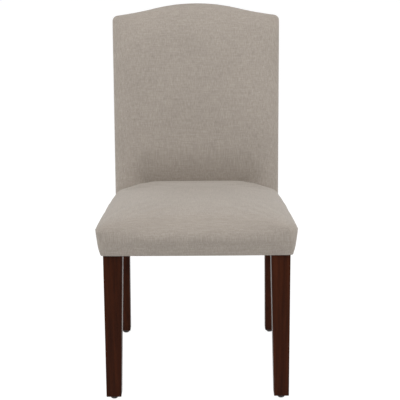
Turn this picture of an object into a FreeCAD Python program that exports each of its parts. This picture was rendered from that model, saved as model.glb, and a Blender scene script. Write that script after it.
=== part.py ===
import FreeCAD, Part
import math
import os
import re
import Sketcher
from FreeCAD import Placement, Rotation, Vector

# An upholstered dining chair with an arched back, on four tapered wooden legs.
# The chair faces -Y, stands on z = 0 and is mirrored about x = 0.
# Lengths along the chair are measured from the front of the seat and then moved to the origin,
# which lies under the middle of the chair.
# Millimetres and degrees.

doc = FreeCAD.newDocument("DiningChair")

SIZES = {
    # Overall
    "crest_height": (970, "top of the arched back above the floor"),
    "seat_bottom_height": (382, "lower edge of the upholstery above the floor"),
    "seat_crown_rise": (101, "crown of the seat above its lower edge"),
    "seat_fall": (6, "how much lower the crown is at the back"),
    "seat_depth": (446, "front of the seat to the face of the back"),
    "origin_setback": (293.9, "front of the seat to the origin"),
    # Seat outline
    "seat_front_half": (237.5, "half width of the seat's lower edge at the front"),
    "seat_rear_half": (231.5, "half width of the seat's lower edge at the back"),
    "seat_belly": (10.5, "how far the front of the seat swells past its lower edge"),
    "seat_rear_belly": (5.2, "how far the rear of the seat swells past its lower edge"),
    "seat_corner_radius": (28, "upright front corners of the seat at its widest"),
    "seat_hem_radius": (7, "upright front corners of the seat at its lower edge"),
    "seat_tail": (16, "how far the seat's sides run back under the back's rounded edge"),
    "seat_side_bow": (4, "bow of the seat's sides"),
    "seat_front_bow": (2, "bow of the seat's front"),
    # Back
    "back_lean": (8, "lean of the back, degrees"),
    "back_thickness": (76, "thickness of the back"),
    "back_top_half": (235, "half width of the back at its shoulders"),
    "back_bottom_half": (231.6, "half width of the back at its lower edge"),
    "crest_radius": (500, "radius of the arch"),
    "shoulder_radius": (920, "radius of the hollow beside the arch"),
    "shoulder_angle": (6.9, "slope at the outer end of the shoulder, degrees"),
    "back_corner_radius": (12, "corner between shoulder and side"),
    "crest_behind_face": (26, "where the top is highest, behind the face of the back"),
    # Fabric and padding
    "cover_thickness": (1.0, "upholstery fabric"),
    "layer_gap": (0.3, "clearance between soft layers"),
    "seat_wadding": (3.5, "fibre wadding under the seat cover"),
    "foam_edge_draw": (1.6, "rear edge of the back foam inside its wadding"),
    "wadding_setback": (12, "rear edge of the back wadding ahead of the outside panel"),
    "panel_corner_radius": (8, "upper corners of the outside panel"),
    "rear_padding_inset": (2, "edge of the rear padding inside the outside panel"),
    "back_wadding": (1.5, "fibre wadding under the back cover"),
    "pocket_headroom": (3, "lower edge of the inside back above the webbing"),
    "front_padding": (28, "face of the back to the frame behind it"),
    "web_width": (50, "elastic webbing width"),
    "web_thickness": (1.2, "elastic webbing thickness"),
    "seat_web_end_gap": (1, "outer lengthwise webs inside the inner faces of the front legs"),
    "web_tack": (16, "length of web stapled on a rail"),
    "back_web_end_gap": (3, "ends of the back's crosswise webs inside the posts' outer faces"),
    "back_web_upright": (85, "upright webs of the back from the middle"),
    "dust_cover_thickness": (0.6, "black cloth under the seat"),
    "dust_cover_margin": (9, "edge of the cloth inside the rails' outer faces"),
    "staple_crown": (10, "dust cover staples"),
    "staple_wire": (0.9, "dust cover staples"),
    "staple_leg": (7, "dust cover staples"),
    "staple_pitch": (72, "dust cover staples along a rail"),
    "staple_from_inside": (6, "line of staples from the rails' inner faces"),
    # Legs
    "front_leg_half": (232, "outer face of a front leg from the middle"),
    "front_leg_side": (48, "front leg at the seat"),
    "front_leg_foot": (38, "front leg at the floor"),
    "front_leg_setback": (16, "front of the seat to the front of the leg"),
    "rear_leg_half": (228, "outer face of a rear leg from the middle"),
    "rear_leg_width": (34, "rear leg at the seat, across"),
    "rear_foot_width": (27.5, "rear leg at the floor, across"),
    "rear_foot_depth": (36, "rear leg at the floor, along"),
    "foot_spread": (540, "front of the front legs to the rear of the rear legs"),
    "post_depth": (38, "back post, front to rear"),
    "post_lap": (52, "top of the posts above the arched rail's underside"),
    # Frame
    "rail_thickness": (22, "seat and back rails"),
    "rail_height": (52, "seat rails"),
    "rail_lift": (1, "underside of the rails above the lower edge"),
    "side_rail_half": (226, "outer face of a side rail from the middle"),
    "rear_rail_setback": (38, "face of the back to the rear rail, at the lower edge"),
    "lower_back_rail_start": (106, "back's lower rail above the lower edge"),
    "lower_back_rail_height": (46, "back's lower rail"),
    "top_rail_depth": (88, "arched rail, crest to underside"),
    "wood_cover_gap": (4, "outline of the back to the wood inside it"),
    # Joints of the frame
    "dowel_diameter": (8, "beech dowels"),
    "dowel_length": (30, "beech dowels"),
    "dowel_spacing": (26, "two dowels in one joint"),
    "dowel_clearance": (0.05, "dowel to hole, on the radius"),
    "dowel_relief": (1, "spare depth at each end of a dowel hole"),
    "block_height": (40, "corner blocks"),
    "block_reach": (38, "corner block along each rail"),
    "block_leg_gap": (2, "corner block to the leg's inner corner"),
    "bolt_diameter": (7, "hanger bolts"),
    "bolt_in_leg": (30, "bolt buried in the leg"),
    "bolt_stub": (13, "bolt past the block"),
    "bolt_clearance": (0.05, "bolt to hole, on the radius"),
    "washer_diameter": (18, "bolt washers"),
    "washer_thickness": (1.6, "bolt washers"),
    "nut_flats": (13, "bolt nuts across the flats"),
    "nut_thickness": (6, "bolt nuts"),
    "screw_diameter": (4, "block screws"),
    "screw_length": (30, "block screws, under the head"),
    "screw_head_diameter": (8, "block screws"),
    "screw_head_height": (3, "block screws"),
    "screw_in_rail": (16, "block screw in the rail"),
    "sink_clearance": (0.3, "screw head to its sink, on the radius"),
    # Glides
    "glide_diameter": (20, "nail-on glides"),
    "glide_height": (9, "nail-on glides"),
    "glide_rest_diameter": (14, "flat underside of a glide"),
    "nail_diameter": (2.4, "nail of a glide"),
    "nail_length": (16, "nail of a glide"),
}

sheet = doc.addObject("Spreadsheet::Sheet", "Sizes")
for row, (alias, (number, note)) in enumerate(SIZES.items(), start=1):
    sheet.set("A%d" % row, alias)
    sheet.set("B%d" % row, str(number))
    sheet.set("C%d" % row, note)
    sheet.setAlias("B%d" % row, alias)
doc.recompute()


def size(alias):
    """A driving dimension as a number."""
    return float(sheet.get(alias))


def linked(text):
    """An expression in which each word in braces is a cell of the sheet."""
    return re.sub(r"\{(\w+)\}", r"Sizes.\1", text)


def bind(thing, **properties):
    """Tie properties of a document object to expressions."""
    for name, text in properties.items():
        thing.setExpression(name.replace("__", "."), linked(text))
    return thing


def put(thing, x, y, z, axis=None, angle=None):
    """Place a document object at three expressions, turned about an axis."""
    bind(thing, Placement__Base__x=x, Placement__Base__y=y, Placement__Base__z=z)
    if axis is not None:
        thing.Placement.Rotation = Rotation(Vector(*axis), 1)
        thing.setExpression("Placement.Rotation.Angle", linked(angle))
    return thing


# Places along the chair, as expressions

BACK_FOOT = "({seat_depth} - ({seat_crown_rise} - {seat_fall}) * tan({back_lean} * 1deg) - {origin_setback})"
RAIL_BASE = "({seat_bottom_height} + {rail_lift})"
RAIL_MIDDLE = "(%s + {rail_height} / 2)" % RAIL_BASE
RAIL_TOP = "(%s + {rail_height})" % RAIL_BASE
LEG_FRONT = "({front_leg_setback} - {origin_setback})"
LEG_REAR = "(%s + {front_leg_side})" % LEG_FRONT
LEG_INNER = "({front_leg_half} - {front_leg_side})"
POST_INNER = "({rear_leg_half} - {rear_leg_width})"
REAR_RAIL_FRONT = "(%s + {rear_rail_setback})" % BACK_FOOT
SIDE_RAIL_MIDDLE = "({side_rail_half} - {rail_thickness} / 2)"
SIDE_RAIL_INNER = "({side_rail_half} - {rail_thickness})"
REAR_FOOT_REAR = "(%s + {foot_spread})" % LEG_FRONT
LOWER_RAIL_TOP = "({lower_back_rail_start} + {lower_back_rail_height})"
TOP_RAIL_UNDERSIDE = ("(({crest_height} - {seat_bottom_height}) / cos({back_lean} * 1deg)"
                      " - {top_rail_depth})")


def lean_y(w, up):
    """Y of a point that lies w behind the face of the back and up along it."""
    return "(%s + (%s) * cos({back_lean} * 1deg) + (%s) * sin({back_lean} * 1deg))" % (BACK_FOOT, w, up)


def lean_z(w, up):
    """Z of a point that lies w behind the face of the back and up along it."""
    return "({seat_bottom_height} - (%s) * sin({back_lean} * 1deg) + (%s) * cos({back_lean} * 1deg))" % (w, up)


def post_front(height):
    """Y of the front of a back post at a height above the lower edge of the upholstery."""
    return ("(%s + {front_padding} / cos({back_lean} * 1deg) + (%s) * tan({back_lean} * 1deg))"
            % (BACK_FOOT, height))


def put_leaning(thing, x, w, up):
    """Place a document object in the leaning frame of the back."""
    return put(thing, x, lean_y(w, up), lean_z(w, up), (1, 0, 0), "-{back_lean}")


# Geometry helpers for document objects

def box(name, length, width, height):
    return bind(doc.addObject("Part::Box", name), Length=length, Width=width, Height=height)


def cylinder(name, radius, height):
    return bind(doc.addObject("Part::Cylinder", name), Radius=radius, Height=height)


def cut(name, base, tool):
    piece = doc.addObject("Part::Cut", name)
    piece.Base = base
    piece.Tool = tool
    return piece


def fuse(name, pieces):
    piece = doc.addObject("Part::MultiFuse", name)
    piece.Shapes = pieces
    return piece


def group(name, pieces):
    piece = doc.addObject("Part::Compound", name)
    piece.Links = pieces
    return piece


def mirrored(name, source):
    piece = doc.addObject("Part::Mirroring", name)
    piece.Source = source
    piece.Normal = Vector(1, 0, 0)
    return piece


def origin_plane(body, role):
    return next(f for f in body.Origin.OriginFeatures if f.Role == role)


def outline_sketch(body, role, name, points, offset):
    """A closed outline of straight lines whose corners are tied to expressions."""
    sketch = body.newObject("Sketcher::SketchObject", name)
    sketch.AttachmentSupport = [(origin_plane(body, role), "")]
    sketch.MapMode = "FlatFace"
    sketch.setExpression("AttachmentOffset.Base.z", linked(offset))
    rough = [Vector(100 + 10 * math.cos(2 * math.pi * i / len(points)),
                    100 + 10 * math.sin(2 * math.pi * i / len(points)), 0) for i in range(len(points))]
    for i, start in enumerate(rough):
        sketch.addGeometry(Part.LineSegment(start, rough[(i + 1) % len(rough)]), False)
    for i in range(len(points)):
        sketch.addConstraint(Sketcher.Constraint("Coincident", i, 2, (i + 1) % len(points), 1))
    for i, (across, upward) in enumerate(points):
        for kind, text in (("DistanceX", across), ("DistanceY", upward)):
            index = sketch.addConstraint(Sketcher.Constraint(kind, -1, 1, i, 1, 50.0))
            sketch.setExpression("Constraints[%d]" % index, linked(text))
    return sketch


def padded_body(name, role, points, offset, length):
    """A board: an outline drawn on an origin plane and padded."""
    body = doc.addObject("PartDesign::Body", name)
    sketch = outline_sketch(body, role, name + "_outline", points, offset)
    pad = body.newObject("PartDesign::Pad", name + "_pad")
    pad.Profile = sketch
    bind(pad, Length=length)
    sketch.Visibility = False
    return body


NODES = []


def keep(thing, label):
    """Give a finished sub-part the name of its file."""
    thing.Label = label
    NODES.append(thing)
    return thing


# Dowels and their holes

DOWEL_AXES = {"across": ((0, 1, 0), "90"), "along": ((1, 0, 0), "-90")}


def dowel_pair(name, across, along, up, direction, leaning=False):
    """Two dowels centred on a joint, with the holes that they sit in."""
    pins = []
    holes = []
    for side in (-1, 1):
        for kind, store in (("pin", pins), ("hole", holes)):
            extra = "{dowel_relief}" if kind == "hole" else "0"
            radius = "{dowel_diameter} / 2" + (" + {dowel_clearance}" if kind == "hole" else "")
            rod = cylinder("%s_%s_%s" % (name, kind, "low" if side < 0 else "high"),
                           radius, "{dowel_length} + 2 * %s" % extra)
            start = "({dowel_length} / 2 + %s)" % extra
            height = "%s + %d * {dowel_spacing} / 2" % (up, side)
            if direction == "across":
                x, y, z = "%s - %s" % (across, start), along, height
            else:
                x, y, z = across, "%s - %s" % (along, start), height
            if leaning:
                put(rod, x, lean_y(y, z), lean_z(y, z), *DOWEL_AXES[direction])
            else:
                put(rod, x, y, z, *DOWEL_AXES[direction])
            store.append(rod)
    return pins, holes


joints = [
    ("front_rail_joint", LEG_INNER, "%s + {rail_thickness} / 2" % LEG_FRONT, RAIL_MIDDLE, "across", False),
    ("side_rail_front_joint", SIDE_RAIL_MIDDLE, LEG_REAR, RAIL_MIDDLE, "along", False),
    ("side_rail_rear_joint", SIDE_RAIL_MIDDLE, post_front("{rail_height} / 2"), RAIL_MIDDLE, "along", False),
    ("rear_rail_joint", POST_INNER, "%s + {rail_thickness} / 2" % REAR_RAIL_FRONT, RAIL_MIDDLE,
     "across", False),
    ("lower_back_joint", POST_INNER, "{front_padding} + {rail_thickness} / 2",
     "{lower_back_rail_start} + {lower_back_rail_height} / 2", "across", True),
    ("top_rail_joint", POST_INNER, "{front_padding} + {rail_thickness} / 2",
     TOP_RAIL_UNDERSIDE + " + {dowel_spacing}", "across", True),
]
right_pins = []
right_holes = []
for joint in joints:
    pins, holes = dowel_pair(*joint)
    right_pins += pins
    right_holes += holes

pins_right = group("pins_right", right_pins)
pins_left = mirrored("pins_left", pins_right)
keep(group("dowels", [pins_right, pins_left]), "dowels")


# Corner blocks, their hanger bolts, washers, nuts and screws.
# Each corner is described by the line where the faces of its two rails meet, the leg's
# inner corner and the way that the corner opens along the chair.

def diagonal(across, along, distance, opening):
    """Expressions for a point that lies a distance inward along the diagonal of a corner."""
    return ("(%s) - (%s) * cos(45deg)" % (across, distance),
            "(%s) + %d * (%s) * cos(45deg)" % (along, opening, distance))


CORNERS = {
    "front": {"rail_face": "(%s + {rail_thickness})" % LEG_FRONT,
              "leg_corner": (LEG_INNER, LEG_REAR),
              "opening": 1},
    "rear": {"rail_face": REAR_RAIL_FRONT,
             "leg_corner": (POST_INNER, post_front("{rail_lift}")),
             "opening": -1},
}

blocks = {}
bolt_rods = []
washer_rings = []
nut_prisms = []
bolt_holes = []
screws = []
screw_holes = []
for corner, place in CORNERS.items():
    opening = place["opening"]
    leg_x, leg_y = place["leg_corner"]
    # How far the leg's corner lies inside the corner of the rails, along the chair and across it
    clear = "((%s - %s) + %d * (%s - %s) + {block_leg_gap} / cos(45deg))" % (
        SIDE_RAIL_INNER, leg_x, opening, leg_y, place["rail_face"])
    near = clear
    far = "(%s + {block_reach})" % clear
    outline = [
        ("%s - %s" % (SIDE_RAIL_INNER, near), place["rail_face"]),
        ("%s - %s" % (SIDE_RAIL_INNER, far), place["rail_face"]),
        (SIDE_RAIL_INNER, "%s + %d * %s" % (place["rail_face"], opening, far)),
        (SIDE_RAIL_INNER, "%s + %d * %s" % (place["rail_face"], opening, near)),
    ]
    base = "%s - {block_height} / 2" % RAIL_MIDDLE
    blocks[corner] = padded_body("block_body_" + corner, "XY_Plane", outline, base, "{block_height}")

    # The bolt runs from the leg through the middle of the block
    turn = "%d" % (45 if opening > 0 else -45)
    block_face = "({block_leg_gap} + {block_reach} * cos(45deg))"

    # One screw runs into each rail, with its head sunk in the block's diagonal face
    middle = "(%s + {block_reach} / 2)" % near
    seat = "({screw_length} - {screw_in_rail})"
    for way in ("along", "across"):
        for kind, radius, start, length, store in (
                ("screw", "{screw_diameter} / 2", "-{screw_in_rail}", "{screw_length}", screws),
                ("screw_head", "{screw_head_diameter} / 2", seat, "{screw_head_height}", screws),
                ("screw_hole", "{screw_diameter} / 2 + {bolt_clearance}", "-{screw_in_rail} - {dowel_relief}",
                 "{screw_length} + 2 * {dowel_relief}", screw_holes),
                ("screw_sink", "{screw_head_diameter} / 2 + {sink_clearance}", seat,
                 "{block_reach}", screw_holes)):
            rod = cylinder("%s_%s_%s" % (kind, corner, way), radius, length)
            if way == "along":
                put(rod, "%s - %s" % (SIDE_RAIL_INNER, middle),
                    "%s + %d * (%s)" % (place["rail_face"], opening, start), RAIL_MIDDLE)
                rod.Placement.Rotation = Rotation(Vector(0, 0, 1), Vector(0, opening, 0))
            else:
                put(rod, "%s - (%s)" % (SIDE_RAIL_INNER, start),
                    "%s + %d * %s" % (place["rail_face"], opening, middle), RAIL_MIDDLE)
                rod.Placement.Rotation = Rotation(Vector(0, 0, 1), Vector(-1, 0, 0))
            store.append(rod)
    for kind, radius, start, length, store in (
            ("bolt", "{bolt_diameter} / 2", "-{bolt_in_leg}",
             "{bolt_in_leg} + %s + {bolt_stub}" % block_face, bolt_rods),
            ("bolt_hole", "{bolt_diameter} / 2 + {bolt_clearance}", "-{bolt_in_leg} - {dowel_relief}",
             "{bolt_in_leg} + %s + {bolt_stub} + 2 * {dowel_relief}" % block_face, bolt_holes),
            ("washer", "{washer_diameter} / 2", block_face, "{washer_thickness}", washer_rings)):
        rod = cylinder("%s_%s" % (kind, corner), radius, length)
        x, y = diagonal(leg_x, leg_y, start, opening)
        put(rod, x, y, RAIL_MIDDLE)
        direction = Vector(-1, opening, 0)
        rod.Placement.Rotation = Rotation(Vector(0, 0, 1), direction)
        store.append(rod)
    nut = bind(doc.addObject("Part::Prism", "nut_" + corner),
               Circumradius="{nut_flats} / 2 / cos(30deg)", Height="{nut_thickness}")
    nut.Polygon = 6
    x, y = diagonal(leg_x, leg_y, "%s + {washer_thickness}" % block_face, opening)
    put(nut, x, y, RAIL_MIDDLE)
    nut.Placement.Rotation = Rotation(Vector(0, 0, 1), Vector(-1, opening, 0))
    nut_prisms.append(nut)

bolts_right = group("bolts_right", bolt_rods)
keep(group("leg_bolts", [bolts_right, mirrored("bolts_left", bolts_right)]), "leg_bolts")
bolt_holes_right = group("bolt_holes_right", bolt_holes)
washers_right = cut("washers_right", group("washer_discs", washer_rings), bolt_holes_right)
keep(group("bolt_washers", [washers_right, mirrored("washers_left", washers_right)]), "bolt_washers")
nuts_right = cut("nuts_right", group("nut_blanks", nut_prisms), bolt_holes_right)
keep(group("bolt_nuts", [nuts_right, mirrored("nuts_left", nuts_right)]), "bolt_nuts")

screw_solids = [fuse("screw_%d" % i, screws[2 * i:2 * i + 2]) for i in range(len(screws) // 2)]
screws_right = group("screws_right", screw_solids)
keep(group("block_screws", [screws_right, mirrored("screws_left", screws_right)]), "block_screws")
block_holes_right = group("block_holes_right", bolt_holes + screw_holes)

# Every hole of the right-hand side, and of both sides
holes_right = group("holes_right", right_holes + bolt_holes + screw_holes)
holes_left = mirrored("holes_left", holes_right)
holes_both = group("holes_both", [holes_right, holes_left])

for corner in blocks:
    right = keep(cut("corner_block_%s_right_cut" % corner, blocks[corner], block_holes_right),
                 "corner_block_%s_right" % corner)
    keep(mirrored("corner_block_%s_left_mirror" % corner, right), "corner_block_%s_left" % corner)


# Front legs: square in the seat, tapered on their two inner faces below it

leg_taper = doc.addObject("Part::Wedge", "front_leg_taper")
bind(leg_taper,
     Xmin="%s + {front_leg_side} - {front_leg_foot}" % LEG_INNER, Xmax="{front_leg_half}",
     X2min=LEG_INNER, X2max="{front_leg_half}",
     Ymin="{glide_height}", Ymax="{seat_bottom_height}",
     Zmin="-%s - {front_leg_foot}" % LEG_FRONT, Zmax="-%s" % LEG_FRONT,
     Z2min="-%s" % LEG_REAR, Z2max="-%s" % LEG_FRONT)
leg_taper.Placement = Placement(Vector(0, 0, 0), Rotation(Vector(1, 0, 0), 90))
leg_head = put(box("front_leg_head", "{front_leg_side}", "{front_leg_side}", "{rail_lift} + {rail_height}"),
               LEG_INNER, LEG_FRONT, "{seat_bottom_height}")
leg_blank = fuse("front_leg_blank", [leg_taper, leg_head])


def nail_hole(name, x, y):
    return put(cylinder(name, "{nail_diameter} / 2 + {dowel_clearance}", "{nail_length} + {dowel_relief}"),
               x, y, "{glide_height}")


FRONT_FOOT_X = "({front_leg_half} - {front_leg_foot} / 2)"
FRONT_FOOT_Y = "(%s + {front_leg_foot} / 2)" % LEG_FRONT
REAR_FOOT_X = "({rear_leg_half} - {rear_foot_width} / 2)"
REAR_FOOT_Y = "(%s - {rear_foot_depth} / 2)" % REAR_FOOT_REAR

front_holes = group("front_leg_holes", [holes_right, nail_hole("front_nail_hole", FRONT_FOOT_X, FRONT_FOOT_Y)])
right = keep(cut("front_leg_right_cut", leg_blank, front_holes), "front_leg_right")
keep(mirrored("front_leg_left_mirror", right), "front_leg_left")


# Rear legs: raked below the seat, leaning above it as the posts of the back

POST_TOP = "(%s + {post_lap})" % TOP_RAIL_UNDERSIDE
rear_profile = [
    (REAR_FOOT_REAR + " - {rear_foot_depth}", "{glide_height}"),
    (post_front("0"), "{seat_bottom_height}"),
    (lean_y("{front_padding}", POST_TOP), lean_z("{front_padding}", POST_TOP)),
    (lean_y("{front_padding} + {post_depth}", POST_TOP), lean_z("{front_padding} + {post_depth}", POST_TOP)),
    ("%s + {post_depth} / cos({back_lean} * 1deg)" % post_front("0"), "{seat_bottom_height}"),
    (REAR_FOOT_REAR, "{glide_height}"),
]
rear_blank = padded_body("rear_leg_board", "YZ_Plane", rear_profile, POST_INNER, "{rear_leg_width}")
rear_taper = doc.addObject("Part::Wedge", "rear_leg_taper")
bind(rear_taper,
     Xmin="%s - {rear_leg_width}" % POST_INNER, Xmax="{rear_leg_half} - {rear_foot_width}",
     X2min="%s - {rear_leg_width}" % POST_INNER, X2max=POST_INNER,
     Ymin="{glide_height}", Ymax="{seat_bottom_height}",
     Zmin="-%s - {post_depth}" % REAR_FOOT_REAR, Zmax="-%s + {post_depth}" % post_front("0"),
     Z2min="-%s - {post_depth}" % REAR_FOOT_REAR, Z2max="-%s + {post_depth}" % post_front("0"))
rear_taper.Placement = Placement(Vector(0, 0, 0), Rotation(Vector(1, 0, 0), 90))
rear_holes = group("rear_leg_holes", [holes_right, nail_hole("rear_nail_hole", REAR_FOOT_X, REAR_FOOT_Y)])
right = keep(cut("rear_leg_right_cut", cut("rear_leg_tapered", rear_blank, rear_taper), rear_holes),
             "rear_leg_right")
keep(mirrored("rear_leg_left_mirror", right), "rear_leg_left")


# Staples that hold the black cloth to the undersides of the rails

STAPLE_ROW = (-2, -1, 0, 1, 2)


def staple(name, x, y, along_x):
    """A wire staple: a crown under the cloth and two legs up into the rail."""
    crown, thin = ("{staple_crown}", "{staple_wire}") if along_x else ("{staple_wire}", "{staple_crown}")
    under = "%s - {dust_cover_thickness} - {staple_wire}" % RAIL_BASE
    parts = [put(box(name + "_crown", crown, thin, "{staple_wire}"),
                 "%s - %s / 2" % (x, crown), "%s - %s / 2" % (y, thin), under)]
    for side in (-1, 1):
        shift = "%d * ({staple_crown} - {staple_wire}) / 2" % side
        leg_x, leg_y = ("%s + %s" % (x, shift), y) if along_x else (x, "%s + %s" % (y, shift))
        leg = box("%s_leg_%s" % (name, "a" if side < 0 else "b"),
                  "{staple_wire}", "{staple_wire}", "{staple_leg}")
        parts.append(put(leg, "%s - {staple_wire} / 2" % leg_x, "%s - {staple_wire} / 2" % leg_y, under))
    return fuse(name, parts)


staple_line = "({rail_thickness} - {staple_from_inside})"
staples = []
for i in STAPLE_ROW:
    across = "%d * {staple_pitch}" % i
    along = "(%s + %s) / 2 + %d * {staple_pitch}" % (LEG_REAR, post_front("{rail_lift}"), i)
    staples.append(staple("staple_front_%d" % (i + 2), across, "%s + %s" % (LEG_FRONT, staple_line), True))
    staples.append(staple("staple_rear_%d" % (i + 2), across,
                          "%s + {staple_from_inside}" % REAR_RAIL_FRONT, True))
    for side in (-1, 1):
        staples.append(staple("staple_side_%d_%s" % (i + 2, "left" if side < 0 else "right"),
                              "%d * ({side_rail_half} - %s)" % (side, staple_line), along, False))
staple_group = keep(group("staple_group", staples), "dust_cover_staples")
rail_holes = group("rail_holes", [holes_both, staple_group])


# Seat rails

front_rail = put(box("front_rail_board", "2 * %s" % LEG_INNER, "{rail_thickness}", "{rail_height}"),
                 "-%s" % LEG_INNER, LEG_FRONT, RAIL_BASE)
keep(cut("front_rail_cut", front_rail, rail_holes), "front_rail")
rear_rail = put(box("rear_rail_board", "2 * %s" % POST_INNER, "{rail_thickness}", "{rail_height}"),
                "-%s" % POST_INNER, REAR_RAIL_FRONT, RAIL_BASE)
keep(cut("rear_rail_cut", rear_rail, rail_holes), "rear_rail")

side_rail = padded_body("side_rail_board", "YZ_Plane", [
    (LEG_REAR, RAIL_BASE),
    (LEG_REAR, RAIL_TOP),
    (post_front("{rail_lift} + {rail_height}"), RAIL_TOP),
    (post_front("{rail_lift}"), RAIL_BASE),
], SIDE_RAIL_INNER, "{rail_thickness}")
right = keep(cut("side_rail_right_cut", side_rail, rail_holes), "side_rail_right")
keep(mirrored("side_rail_left_mirror", right), "side_rail_left")


# Rails of the back

lower_rail = put_leaning(box("lower_back_board", "2 * %s" % POST_INNER, "{rail_thickness}",
                             "{lower_back_rail_height}"),
                         "-%s" % POST_INNER, "{front_padding}", "{lower_back_rail_start}")
keep(cut("back_lower_rail_cut", lower_rail, holes_both), "back_lower_rail")


# Arched outline of the back, in the plane of the back.
# The arch, the hollow shoulders and the corners are arcs that run into each other.

LEAN = math.radians(size("back_lean"))
CREST_UP = (size("crest_height") - size("seat_bottom_height")
            + size("crest_behind_face") * math.sin(LEAN)) / math.cos(LEAN)
# The sections of the back run this far below its lower edge and are cut level there
SKIRT = 30.0
# Longer than the chair, for solids that cut a piece off on one side
FAR = 2 * size("crest_height")


def back_half(up):
    """Half width of the back at a height along it."""
    share = min(1.0, up / CREST_UP)
    return size("back_bottom_half") + (size("back_top_half") - size("back_bottom_half")) * share


def arched_outline(w, inset, corner):
    """The back's outline w behind its face, drawn in by an inset: a closed wire with eight edges."""
    half = size("back_top_half") - inset
    arch = size("crest_radius") - inset
    hollow = size("shoulder_radius") + inset
    slope = math.radians(size("shoulder_angle"))
    steep = math.asin((half - corner * (1 - math.sin(slope)) + hollow * math.sin(slope)) / (arch + hollow))
    top = CREST_UP - inset

    def on_arch(angle):
        return arch * math.sin(angle), top - arch * (1 - math.cos(angle))

    turn_x, turn_up = on_arch(steep)

    def on_hollow(angle):
        return (turn_x + hollow * (math.sin(steep) - math.sin(angle)),
                turn_up - hollow * (math.cos(angle) - math.cos(steep)))

    end_x, end_up = on_hollow(slope)
    centre_x = end_x - corner * math.sin(slope)
    centre_up = end_up - corner * math.cos(slope)

    def on_corner(angle):
        return centre_x + corner * math.sin(angle), centre_up + corner * math.cos(angle)

    foot = size("back_bottom_half") - inset
    right = [on_corner(math.pi / 2), on_corner((slope + math.pi / 2) / 2), (end_x, end_up),
             on_hollow((slope + steep) / 2), (turn_x, turn_up)]

    def at(point, sign=1):
        return Vector(sign * point[0], w, point[1])

    edges = [Part.LineSegment(at((foot, -SKIRT), -1), at((foot, -SKIRT))),
             Part.LineSegment(at((foot, -SKIRT)), at(right[0])),
             Part.Arc(at(right[0]), at(right[1]), at(right[2])),
             Part.Arc(at(right[2]), at(right[3]), at(right[4])),
             Part.Arc(at(right[4]), at((0, top)), at(right[4], -1)),
             Part.Arc(at(right[4], -1), at(right[3], -1), at(right[2], -1)),
             Part.Arc(at(right[2], -1), at(right[1], -1), at(right[0], -1)),
             Part.LineSegment(at(right[0], -1), at((foot, -SKIRT), -1))]
    return Part.Wire([edge.toShape() for edge in edges])


LEANING_FRAME = Placement(
    Vector(0, size("seat_depth") - (size("seat_crown_rise") - size("seat_fall")) * math.tan(LEAN)
           - size("origin_setback"), size("seat_bottom_height")),
    Rotation(Vector(1, 0, 0), -size("back_lean")))


def leaning_box(x_low, x_high, w_low, w_high, up_low, up_high):
    return Part.makeBox(x_high - x_low, w_high - w_low, up_high - up_low, Vector(x_low, w_low, up_low))


def level_below(height):
    """Everything of the back below a level height, in the frame of the back."""
    solid = Part.makeBox(2 * FAR, 2 * FAR, FAR, Vector(-FAR, -FAR, height - FAR))
    solid.Placement = LEANING_FRAME.inverse().multiply(solid.Placement)
    return solid


def shape_piece(label, shape, placement=None):
    """A sub-part whose shape is worked out above from the sheet."""
    piece = doc.addObject("Part::Feature", label)
    piece.Shape = shape
    if placement is not None:
        piece.Placement = placement
    return keep(piece, label)


# Arched top rail: its upper edge follows the outline of the back

wood_outline = arched_outline(size("front_padding"), size("wood_cover_gap"), size("back_corner_radius"))
wood_slab = Part.Face(wood_outline).extrude(Vector(0, size("rail_thickness"), 0))
post_inner = size("rear_leg_half") - size("rear_leg_width")
rail_reach = leaning_box(-post_inner, post_inner, 0, FAR, CREST_UP - size("top_rail_depth"), FAR)
top_rail_board = doc.addObject("Part::Feature", "top_rail_board")
top_rail_board.Shape = wood_slab.common(rail_reach)
top_rail_board.Placement = LEANING_FRAME
keep(cut("back_top_rail_cut", top_rail_board, holes_both), "back_top_rail")


# Soft parts of the back.
# Each section is (distance behind the face, inset of the outline, corner radius).

BACK_FACE = [(0, 70, 60), (1.5, 45, 46), (4.5, 25, 32), (8, 14, 24), (12, 7.5, 18), (17, 3, 14), (24, 0.6, 12)]
BACK_EDGE = [(-14, 0, 12), (-6, 1.2, 12), (-2.5, 3, 11), (0, 6, 9)]
SMALLEST_BACK_CORNER = 4


def back_sections(depth, rear, edge_draw=0):
    """Sections of the padded back, all drawn in by a depth, from its face to a plane behind."""
    front = [(w + depth, inset + depth, max(corner - depth, SMALLEST_BACK_CORNER))
             for w, inset, corner in BACK_FACE]
    thickness = size("back_thickness")
    edge = [(thickness + w, inset + depth, max(corner - depth, SMALLEST_BACK_CORNER))
            for w, inset, corner in BACK_EDGE]
    if rear < thickness:
        edge = [(rear, depth + edge_draw, max(size("back_corner_radius") - depth, SMALLEST_BACK_CORNER))]
        front = [section for section in front if section[0] < rear - 1]
    return [arched_outline(*section) for section in front + edge]


def hollow_loft(outer, inner):
    """A skin between two lofts, open where their last sections share a plane."""
    return Part.makeLoft(outer, True, True).cut(Part.makeLoft(inner, True, True))


cover = size("cover_thickness")
gap = size("layer_gap")
back_wadding_outer = cover + gap
back_wadding_inner = back_wadding_outer + size("back_wadding")
back_foam_outer = back_wadding_inner + gap
thickness = size("back_thickness")

# The cover, wadding and foam stop above the seat rails, between the posts
pocket_rise = size("rail_lift") + size("rail_height") + 2 * size("web_thickness") + size("pocket_headroom")
pocket_half = size("rear_leg_half") + gap
rail_pocket = leaning_box(-pocket_half, pocket_half, -FAR, size("front_padding"), -FAR, FAR)
rail_pocket = rail_pocket.common(level_below(size("seat_bottom_height") + pocket_rise))
below_back = level_below(size("seat_bottom_height"))

back_cover = hollow_loft(back_sections(0, thickness), back_sections(cover, thickness))
shape_piece("back_cover", back_cover.cut(below_back).cut(rail_pocket), LEANING_FRAME)

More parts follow.
